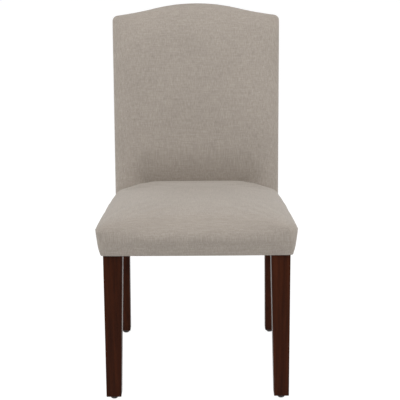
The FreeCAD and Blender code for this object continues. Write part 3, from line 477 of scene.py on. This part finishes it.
def loft(name, rings):
    """A closed form through rings that have the same number of points."""
    shell = bmesh.new()
    rows = [[shell.verts.new(point) for point in ring] for ring in rings]
    for low, high in zip(rows, rows[1:]):
        for i in range(len(low)):
            after = (i + 1) % len(low)
            shell.faces.new((low[i], low[after], high[after], high[i]))
    shell.faces.new(list(reversed(rows[0])))
    shell.faces.new(rows[-1])
    bmesh.ops.triangulate(shell, faces=[face for face in shell.faces if len(face.verts) > 4])
    bmesh.ops.recalc_face_normals(shell, faces=shell.faces)
    mesh = bpy.data.meshes.new(name)
    shell.to_mesh(mesh)
    shell.free()
    return put_in_scene(name, mesh)


def fine_profile(rows, step):
    """More rows of a profile, on a smooth curve through the given ones."""
    rows = np.array(rows, float)
    out = []
    for i in range(len(rows) - 1):
        before = rows[max(i - 1, 0)]
        start = rows[i]
        end = rows[i + 1]
        after = rows[min(i + 2, len(rows) - 1)]
        count = max(1, int(round(np.abs(end - start).max() / step)))
        for share in spread(0, 1, count):
            out.append(0.5 * (2 * start + (end - before) * share
                              + (2 * before - 5 * start + 4 * end - after) * share * share
                              + (3 * start - before - 3 * end + after) * share ** 3))
    out.append(rows[-1])
    return out


def relax(piece, passes):
    """Evens a piece's points out a little, pass by pass."""
    even = piece.modifiers.new("relax", "SMOOTH")
    even.factor = 0.5
    even.iterations = passes
    apply_modifier(piece, even)


def even_skin(piece, voxel):
    """An even net of small faces over a piece, with the steps between its rings smoothed away."""
    remesh = piece.modifiers.new("even skin", "REMESH")
    remesh.mode = "VOXEL"
    remesh.voxel_size = voxel
    apply_modifier(piece, remesh)
    relax(piece, SKIN_PASSES)


def points_of(mesh):
    """The places of a mesh's points, one row each."""
    flat = np.empty(len(mesh.vertices) * 3)
    mesh.vertices.foreach_get("co", flat)
    return flat.reshape(-1, 3)


def move_points(piece, points):
    piece.data.vertices.foreach_set("co", points.ravel())
    piece.data.update()


def fill_out(piece, held, pressure, cap):
    """Swells a cover from inside with a cloth simulation; held points stay, and none moves past the cap."""
    before = points_of(piece.data)
    tacks = piece.vertex_groups.new(name="tacks")
    for index, weight in enumerate(held(before)):
        if weight > 0:
            tacks.add([index], float(weight), "REPLACE")
    cloth = piece.modifiers.new("cover", "CLOTH")
    settings = cloth.settings
    settings.quality = 6
    settings.mass = 0.3
    settings.tension_stiffness = 12
    settings.compression_stiffness = 12
    settings.shear_stiffness = 6
    settings.bending_stiffness = 1.5
    settings.use_pressure = True
    settings.uniform_pressure_force = pressure
    settings.effector_weights.gravity = 0
    settings.vertex_group_mass = "tacks"
    cloth.collision_settings.use_collision = False
    cloth.point_cache.frame_start = 1
    cloth.point_cache.frame_end = CLOTH_FRAMES
    scene = bpy.context.scene
    for number in range(1, CLOTH_FRAMES + 1):
        scene.frame_set(number)
    result = piece.evaluated_get(bpy.context.evaluated_depsgraph_get())
    after = points_of(result.data)
    scene.frame_set(1)
    piece.modifiers.remove(cloth)
    piece.vertex_groups.remove(tacks)
    move = after - before
    length = np.linalg.norm(move, axis=1)
    move *= np.minimum(1.0, cap / np.maximum(length, 1e-9))[:, None]
    move_points(piece, before + move)


def subdivide(piece):
    divide = piece.modifiers.new("finer", "SUBSURF")
    divide.levels = 1
    divide.render_levels = 1
    apply_modifier(piece, divide)


def level_cut(piece, height):
    """Cuts a piece off level and closes it there."""
    open_up(piece)
    bpy.ops.mesh.select_all(action="SELECT")
    bpy.ops.mesh.bisect(plane_co=(0, 0, height), plane_no=(0, 0, -1), use_fill=True, clear_outer=True)
    close_up()


def in_back(x, depth, up):
    """A point of the leaning back: a depth behind its face and up along it."""
    return Vector((x, BACK_FOOT_Y + depth * math.cos(LEAN) + up * math.sin(LEAN),
                   FLOOR_TO_SEAT_EDGE - depth * math.sin(LEAN) + up * math.cos(LEAN)))


def spread(start, end, count):
    """Even steps from start towards end, without the end itself."""
    return [start + (end - start) * i / count for i in range(count)]


# The back's outline: an arch between hollow shoulders with small corners

BACK_TOP_HALF = 0.235
BACK_BOTTOM_HALF = 0.2316
ARCH_RADIUS = 0.500
HOLLOW_RADIUS = 0.920
SHOULDER_SLOPE = math.radians(6.9)
BACK_SKIRT = 0.030


def arched_ring(depth, inset, corner):
    """The back's outline at a depth behind its face, drawn in by an inset."""
    half = BACK_TOP_HALF - inset
    arch = ARCH_RADIUS - inset
    hollow = HOLLOW_RADIUS + inset
    slope = SHOULDER_SLOPE
    steep = math.asin((half - corner * (1 - math.sin(slope)) + hollow * math.sin(slope)) / (arch + hollow))
    top = CREST_UP - inset
    turn_x = arch * math.sin(steep)
    turn_up = top - arch * (1 - math.cos(steep))
    end_x = turn_x + hollow * (math.sin(steep) - math.sin(slope))
    end_up = turn_up - hollow * (math.cos(slope) - math.cos(steep))
    centre_x = end_x - corner * math.sin(slope)
    centre_up = end_up - corner * math.cos(slope)
    foot = BACK_BOTTOM_HALF - inset
    right = [(foot + (half - foot) * share, -BACK_SKIRT + (centre_up + BACK_SKIRT) * share)
             for share in spread(0, 1, 40)]
    right += [(centre_x + corner * math.sin(angle), centre_up + corner * math.cos(angle))
              for angle in spread(math.pi / 2, slope, 8)]
    right += [(turn_x + hollow * (math.sin(steep) - math.sin(angle)),
               turn_up - hollow * (math.cos(angle) - math.cos(steep))) for angle in spread(slope, steep, 10)]
    right += [(arch * math.sin(angle), top - arch * (1 - math.cos(angle))) for angle in spread(steep, 0, 16)]
    outline = right + [(0, top)] + [(-x, up) for x, up in reversed(right)]
    return [in_back(x, depth, up) for x, up in outline]


# Depth behind the face, inset, radius of the upper corners; the edge's depths are from the rear
BACK_FACE = [(0.0, 0.070, 0.060), (0.0015, 0.045, 0.046), (0.0045, 0.025, 0.032), (0.008, 0.014, 0.024),
             (0.012, 0.0075, 0.018), (0.017, 0.003, 0.014), (0.024, 0.0006, 0.012)]
BACK_EDGE = [(-0.014, 0, 0.012), (-0.006, 0.0012, 0.012), (-0.0025, 0.003, 0.011), (0, 0.006, 0.009)]
BACK_PROFILE = BACK_FACE + [(BACK_THICKNESS + depth, inset, corner) for depth, inset, corner in BACK_EDGE]


def leaning_depth(points):
    """How far each point lies behind the leaning face of the back."""
    return (points[:, 1] - BACK_FOOT_Y) * math.cos(LEAN) - (points[:, 2] - FLOOR_TO_SEAT_EDGE) * math.sin(LEAN)


ROLL_START_UP = 0.165
ROLL_END_UP = 0.096
ROLL_DEPTH = 0.020
ROLL_FULL_HALF = 0.135
ROLL_END_HALF = 0.205
ROLL_FULL_DEPTH = 0.010
ROLL_END_DEPTH = 0.040


def eased(share):
    """0 to 1 with a soft start and a soft end."""
    share = np.clip(share, 0, 1)
    return share * share * (3 - 2 * share)


def roll_lower_edge(piece):
    """Turns the pad's face in above the seat, where its cover is pulled through to the rear rail."""
    points = points_of(piece.data)
    depth = leaning_depth(points)
    up = ((points[:, 2] - FLOOR_TO_SEAT_EDGE) + depth * math.sin(LEAN)) / math.cos(LEAN)
    share = np.clip((ROLL_START_UP - up) / (ROLL_START_UP - ROLL_END_UP), 0, 1)
    pull = ROLL_DEPTH * share ** 2
    pull *= 1 - eased((np.abs(points[:, 0]) - ROLL_FULL_HALF) / (ROLL_END_HALF - ROLL_FULL_HALF))
    pull *= 1 - eased((depth - ROLL_FULL_DEPTH) / (ROLL_END_DEPTH - ROLL_FULL_DEPTH))
    points[:, 1] += pull * math.cos(LEAN)
    points[:, 2] -= pull * math.sin(LEAN)
    move_points(piece, points)


def held_back(points):
    """The back's cover is tacked all along the sides and the rear, and free over the front padding."""
    free_depth = 0.014
    tacked_depth = 0.034
    return np.clip((leaning_depth(points) - free_depth) / (tacked_depth - free_depth), 0, 1)


def back_hollow():
    """The room that the back's frame takes, open behind for the outside panel."""
    frame_start = 0.0253
    frame_end = 0.0663
    past_rear = 0.090
    frame_inset = 0.0033
    frame_corner = 0.009
    panel_inset = 0.0085
    panel_corner = 0.007
    return loft("back_hollow", [arched_ring(frame_start, frame_inset, frame_corner),
                                arched_ring(frame_end, frame_inset, frame_corner),
                                arched_ring(frame_end + 0.0001, panel_inset, panel_corner),
                                arched_ring(past_rear, panel_inset, panel_corner)])


back = loft("back_upholstery", [arched_ring(*row) for row in fine_profile(BACK_PROFILE, ROW_STEP)])
even_skin(back, SKIN_STEP)
roll_lower_edge(back)
fill_out(back, held_back, pressure=0.4, cap=0.005)
relax(back, passes=2)
subdivide(back)
back_form = put_in_scene("back_form", back.data.copy())
level_cut(back, FLOOR_TO_SEAT_EDGE)
combine(back, back_hollow(), "DIFFERENCE")
smooth(back)
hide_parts("back_cover", "back_wadding", "back_foam")
dress(back, LINEN)


# The outside of the back: a plain panel over thin padding, blind stitched along its edge

# Depth from the rear of the back, inset, radius of the upper corners
OUTSIDE_PANEL = [(-0.0097, 0.0095, 0.007), (-0.004, 0.0093, 0.007), (-0.0015, 0.0098, 0.007),
                 (-0.0003, 0.0115, 0.008), (0.0006, 0.016, 0.012), (0.0014, 0.030, 0.024), (0.0019, 0.060, 0.045)]


def turned_edge():
    """The part of the panel that is turned under the rear rail, between the posts."""
    half = REAR_LEG_HALF - REAR_LEG_WIDTH - FRAME_CLEARANCE
    inside_panel_y = BACK_FOOT_Y + 0.072
    above_cut = FLOOR_TO_SEAT_EDGE + 0.0002
    return block("turned_under", (-half, CLOTH_REAR_Y, above_cut), (half, inside_panel_y, RAIL_BASE - RAIL_GAP))


outside = loft("outside_back", [arched_ring(BACK_THICKNESS + depth, inset, corner)
                                for depth, inset, corner in fine_profile(OUTSIDE_PANEL, ROW_STEP)])
even_skin(outside, PANEL_SKIN_STEP)
level_cut(outside, FLOOR_TO_SEAT_EDGE)
combine(outside, turned_edge(), "UNION")
smooth(outside)
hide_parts("back_outside_panel", "back_rear_padding")
dress(outside, LINEN)


# The seat's outline, from its hem over the belly and the shoulder to the crown

SEAT_FRONT_HALF = 0.2388
SEAT_REAR_HALF = 0.2282
SEAT_BELLY = 0.0107
SEAT_REAR_BELLY = 0.0002
SEAT_REAR_DRAW = 0.005
DRAW_START_RISE = 0.048
DRAW_END_RISE = 0.068
SEAT_SIDE_BOW = 0.005
SEAT_FRONT_BOW = 0.002
HEM_RADIUS = 0.0065
BELLY_RADIUS = 0.027
CORNER_GROWTH = 0.45
WEB_TOP = 0.0557
SEAT_TAIL = 0.022
SEAT_ROW_STEP = 0.004

# Height above the hem, share of the belly, inset at the sides, inset at the front
SEAT_PROFILE = [(-0.016, -0.08, 0, 0), (0, 0, 0, 0), (0.004, 0.1, 0, 0), (0.017, 0.49, 0, 0),
                (0.032, 0.68, 0, 0), (0.044, 0.87, 0, 0.0002),
                (0.054, 0.97, -0.0003, 0.0002), (0.060, 1, -0.0010, 0.0008), (0.066, 1, -0.0008, 0.0026),
                (0.072, 1, 0.0050, 0.0070), (0.078, 1, 0.0180, 0.0148), (0.0835, 1, 0.0325, 0.0262),
                (0.0883, 1, 0.0480, 0.0385), (0.0923, 1, 0.0610, 0.0515), (0.0955, 1, 0.0760, 0.0660),
                (0.0985, 1, 0.0950, 0.0860), (0.1005, 1, 0.118, 0.111), (0.101, 1, 0.143, 0.140)]


def seat_ring(rise, share, side_inset, front_inset):
    """The seat's outline at a height above its hem; its rear runs on behind the face of the back."""
    front_half = SEAT_FRONT_HALF + share * SEAT_BELLY - side_inset
    drawn_in = min(1.0, max(0.0, (rise - DRAW_START_RISE) / (DRAW_END_RISE - DRAW_START_RISE)))
    rear_half = SEAT_REAR_HALF + share * SEAT_REAR_BELLY - side_inset - SEAT_REAR_DRAW * drawn_in
    front = SEAT_BELLY * (1 - share) + front_inset
    radius = HEM_RADIUS + share * (BELLY_RADIUS - HEM_RADIUS) + CORNER_GROWTH * side_inset
    tilt = SEAT_FALL * max(0.0, rise - WEB_TOP) / (SEAT_RISE - WEB_TOP) / SEAT_DEPTH
    rear = SEAT_DEPTH + SEAT_TAIL / math.cos(LEAN) + (rise - SEAT_RISE + SEAT_FALL) * math.tan(LEAN)
    side_angle = math.atan2(front_half - rear_half, rear - front)
    reach = radius * math.tan((math.pi / 2 - side_angle) / 2)
    centre = (front_half - reach, front + radius)
    right = [((front_half - reach) * share_of_width, front - SEAT_FRONT_BOW * (1 - share_of_width ** 2))
             for share_of_width in spread(0, 1, 20)]
    right += [(centre[0] + radius * math.cos(angle), centre[1] + radius * math.sin(angle))
              for angle in spread(-math.pi / 2, side_angle, 10)]
    start = (centre[0] + radius * math.cos(side_angle), centre[1] + radius * math.sin(side_angle))
    right += [(start[0] + (rear_half - start[0]) * along + 4 * SEAT_SIDE_BOW * along * (1 - along),
               start[1] + (rear - start[1]) * along) for along in spread(0, 1, 36)]
    right += [(rear_half * (1 - across), rear) for across in spread(0, 1, 10)]
    outline = right + [(0, rear)] + [(-x, y) for x, y in reversed(right[1:])]
    base = FLOOR_TO_SEAT_EDGE + rise
    return [Vector((x, y - FRONT_TO_ORIGIN, base - tilt * y)) for x, y in outline]


def held_seat(points):
    """The seat's cover is tacked under the rails and held by the back, and free over the padding."""
    tacked_rise = 0.006
    free_rise = 0.030
    free_before_back = 0.030
    rise = points[:, 2] - FLOOR_TO_SEAT_EDGE
    hem = np.clip((free_rise - rise) / (free_rise - tacked_rise), 0, 1)
    rear = np.clip((leaning_depth(points) + free_before_back) / free_before_back, 0, 1)
    return np.maximum(hem, rear)


def seat_hollow():
    """The room that the rails, the legs and the webbing take; the cover turns under the rails to the black cloth."""
    gap = FRAME_CLEARANCE
    rail_half = SIDE_RAIL_HALF + gap
    below_hem = FLOOR_TO_SEAT_EDGE - 0.02
    web_top = FLOOR_TO_SEAT_EDGE + WEB_TOP
    leg_top = web_top - 0.001
    before_posts_y = 0.1655
    past_seat_y = 0.30
    hollow = block("seat_hollow", (-rail_half, LEG_FRONT_Y - gap, RAIL_BASE - RAIL_GAP),
                   (rail_half, past_seat_y, web_top))
    outer = FRONT_LEG_HALF + gap
    inner = FRONT_LEG_HALF - FRONT_LEG_SIDE - gap
    rooms = [("cloth_opening", (-CLOTH_HALF, CLOTH_FRONT_Y, below_hem), (CLOTH_HALF, past_seat_y, RAIL_BASE + gap))]
    rooms += [("leg_room", (left_x, LEG_FRONT_Y - gap, below_hem),
               (right_x, LEG_FRONT_Y + FRONT_LEG_SIDE + gap, leg_top))
              for left_x, right_x in ((-outer, -inner), (inner, outer))]
    rooms.append(("post_room", (-REAR_LEG_HALF - gap, before_posts_y, below_hem),
                  (REAR_LEG_HALF + gap, past_seat_y, leg_top)))
    for room in rooms:
        combine(hollow, block(*room), "UNION")
    return hollow


seat = loft("seat_upholstery", [seat_ring(*row) for row in fine_profile(SEAT_PROFILE, SEAT_ROW_STEP)])
even_skin(seat, SKIN_STEP)
fill_out(seat, held_seat, pressure=0.6, cap=0.006)
relax(seat, passes=3)
subdivide(seat)
level_cut(seat, FLOOR_TO_SEAT_EDGE)
combine(seat, back_form, "DIFFERENCE")
combine(seat, seat_hollow(), "DIFFERENCE")
smooth(seat)
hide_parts("seat_cover", "seat_wadding", "seat_foam")
dress(seat, LINEN)


# Black cloth stapled under the seat, cut round the legs and hanging a little between the rails

CLOTH_THICKNESS = 0.0006
CLOTH_SAG = 0.0045
SAG_REACH = 0.07
PUCKER = 0.0007
PUCKER_START = 0.01
PUCKER_REACH = 0.035
STAPLE_PITCH = 0.072
CLOTH_STEP = 0.007
NOTCH_GAP = 0.002


def marks(stops):
    """Even steps between stops, with every stop among them."""
    out = [stops[0]]
    for start, end in zip(stops, stops[1:]):
        count = max(1, math.ceil((end - start) / CLOTH_STEP))
        out += [start + (end - start) * (i + 1) / count for i in range(count)]
    return out


def hang(x, y):
    """How far the cloth hangs below the rails at a place."""
    from_side = SIDE_RAIL_HALF - RAIL_THICKNESS - abs(x)
    from_front = y - (LEG_FRONT_Y + RAIL_THICKNESS)
    from_rear = REAR_RAIL_Y - y
    inward = min(from_side, from_front, from_rear)
    if inward <= 0:
        return 0.0
    along = y if from_side == inward else x
    ripple = PUCKER * (1 - math.cos(2 * math.pi * along / STAPLE_PITCH)) * math.exp(-inward / PUCKER_REACH)
    rounded = 1 - math.exp(-(from_side * from_front * from_rear) ** (1 / 3) / SAG_REACH)
    return CLOTH_SAG * rounded + ripple * min(1.0, inward / PUCKER_START)


def dust_cloth():
    """The cloth with its thickness, and the area of its flat cut."""
    front_notch = (FRONT_LEG_HALF - FRONT_LEG_SIDE - NOTCH_GAP, LEG_FRONT_Y + FRONT_LEG_SIDE + NOTCH_GAP)
    rear_notch = (REAR_LEG_HALF - REAR_LEG_WIDTH - NOTCH_GAP,
                  BACK_FOOT_Y + FRONT_PADDING / math.cos(LEAN) - NOTCH_GAP)
    across = marks([-CLOTH_HALF, -rear_notch[0], -front_notch[0], front_notch[0], rear_notch[0], CLOTH_HALF])
    along = marks([CLOTH_FRONT_Y, front_notch[1], rear_notch[1], CLOTH_REAR_Y])
    net = bmesh.new()
    corners = {}
    area = 0.0
    for i in range(len(across) - 1):
        for j in range(len(along) - 1):
            x = (across[i] + across[i + 1]) / 2
            y = (along[j] + along[j + 1]) / 2
            in_front_notch = abs(x) > front_notch[0] and y < front_notch[1]
            in_rear_notch = abs(x) > rear_notch[0] and y > rear_notch[1]
            if in_front_notch or in_rear_notch:
                continue
            area += (across[i + 1] - across[i]) * (along[j + 1] - along[j])
            ring = []
            for key in ((i, j), (i, j + 1), (i + 1, j + 1), (i + 1, j)):
                if key not in corners:
                    place = (across[key[0]], along[key[1]])
                    corners[key] = net.verts.new((*place, RAIL_BASE - RAIL_GAP - hang(*place)))
                ring.append(corners[key])
            net.faces.new(ring)
    mesh = bpy.data.meshes.new("dust_cloth")
    net.to_mesh(mesh)
    net.free()
    piece = put_in_scene("dust_cloth", mesh)
    wall = piece.modifiers.new("thickness", "SOLIDIFY")
    wall.thickness = CLOTH_THICKNESS
    wall.offset = 1
    apply_modifier(piece, wall)
    smooth(piece, 40)
    return piece, area


cloth, cloth_area = dust_cloth()
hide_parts("dust_cover")
dress(cloth, BLACK_CLOTH)


# Floor, light and camera

FLOOR_GLOW = 1.13
FLOOR_GLOW_SHARE = 0.85
SOFT_LIGHT = 0.28


def rays_to_the_eye(tree):
    """1 where a ray comes straight to the camera or by way of a mirror or glass, 0 where it lights the chair."""
    rays = tree.nodes.new("ShaderNodeLightPath")
    seen = rays.outputs["Is Camera Ray"]
    for kind in ("Is Glossy Ray", "Is Transmission Ray"):
        either = tree.nodes.new("ShaderNodeMath")
        either.operation = "MAXIMUM"
        tree.links.new(seen, either.inputs[0])
        tree.links.new(rays.outputs[kind], either.inputs[1])
        seen = either.outputs[0]
    return seen


select_none()
bpy.ops.mesh.primitive_plane_add(size=60, location=(0, 0, 0))
floor = bpy.context.active_object
floor.name = "studio_floor"
floor_finish = Finish("white studio floor")
floor_finish.set(Base_Color=(*grey(0.93), 1), Roughness=0.9)
glow = floor_finish.add("ShaderNodeEmission")
glow.inputs["Strength"].default_value = FLOOR_GLOW
blend = floor_finish.add("ShaderNodeMixShader")
seen = floor_finish.maths("MULTIPLY", rays_to_the_eye(floor_finish.tree), FLOOR_GLOW_SHARE)
floor_finish.wire(seen, blend.inputs[0])
floor_finish.wire(floor_finish.shader.outputs["BSDF"], blend.inputs[1])
floor_finish.wire(glow.outputs[0], blend.inputs[2])
floor_finish.wire(blend.outputs[0], floor_finish.output.inputs["Surface"])
floor.data.materials.append(floor_finish.material)

world = bpy.data.worlds.new("studio")
bpy.context.scene.world = world
world.use_nodes = True
sky = world.node_tree
sky.nodes.clear()
sky_output = sky.nodes.new("ShaderNodeOutputWorld")
choose = sky.nodes.new("ShaderNodeMixShader")
sky.links.new(rays_to_the_eye(sky), choose.inputs[0])
for number, strength in ((1, SOFT_LIGHT), (2, 1.0)):
    white = sky.nodes.new("ShaderNodeBackground")
    white.inputs["Color"].default_value = (1, 1, 1, 1)
    white.inputs["Strength"].default_value = strength
    sky.links.new(white.outputs[0], choose.inputs[number])
sky.links.new(choose.outputs[0], sky_output.inputs["Surface"])


def softbox(name, place, aim, width, height, power):
    """A rectangular area lamp that faces a point."""
    lamp = bpy.data.lights.new(name, "AREA")
    lamp.shape = "RECTANGLE"
    lamp.size = width
    lamp.size_y = height
    lamp.energy = power
    holder = put_in_scene(name, lamp)
    holder.location = place
    holder.rotation_euler = (Vector(aim) - Vector(place)).to_track_quat("-Z", "Y").to_euler()


MIDDLE = (0, 0, 0.6)
softbox("overhead", (0, -0.7, 2.9), (0, 0, 0.5), 2.0, 2.0, 9)
softbox("front_high", (0, -2.6, 2.3), (0, 0.2, 0.8), 1.8, 1.2, 19)
softbox("near_top", (0, -1.3, 2.0), (0, 0.2, 0.85), 1.0, 0.6, 5)
softbox("high_left", (-1.9, -0.7, 2.0), MIDDLE, 1.2, 1.2, 17)
softbox("high_right", (1.9, -0.7, 2.0), MIDDLE, 1.2, 1.2, 18)
softbox("side_left", (-2.4, 0.3, 1.1), MIDDLE, 1.4, 1.8, 6)
softbox("side_right", (2.4, 0.3, 1.1), MIDDLE, 1.4, 1.8, 6)
softbox("rear_left", (-1.7, 2.3, 1.7), MIDDLE, 1.4, 1.4, 12)
softbox("rear_right", (1.7, 2.3, 1.7), MIDDLE, 1.4, 1.4, 12)

# The camera that fits the photograph's outline
CAMERA_PLACE = Vector((0.0088, -2.9622, 1.1276))
CAMERA_PITCH = math.radians(12.731)
CAMERA_ROLL = 0.0062
FOCAL_PIXELS = 1127.0
PHOTO_PIXELS = 400

camera = bpy.data.cameras.new("camera")
camera.sensor_width = 36
camera.lens = FOCAL_PIXELS / PHOTO_PIXELS * camera.sensor_width
camera_object = put_in_scene("camera", camera)
across = Vector((1, 0, 0))
upward = Vector((0, math.sin(CAMERA_PITCH), math.cos(CAMERA_PITCH)))
ahead = Vector((0, math.cos(CAMERA_PITCH), -math.sin(CAMERA_PITCH)))
right_axis = across * math.cos(CAMERA_ROLL) - upward * math.sin(CAMERA_ROLL)
up_axis = across * math.sin(CAMERA_ROLL) + upward * math.cos(CAMERA_ROLL)
turn = Matrix((right_axis, up_axis, -ahead)).transposed().to_4x4()
camera_object.matrix_world = Matrix.Translation(CAMERA_PLACE) @ turn
bpy.context.scene.camera = camera_object
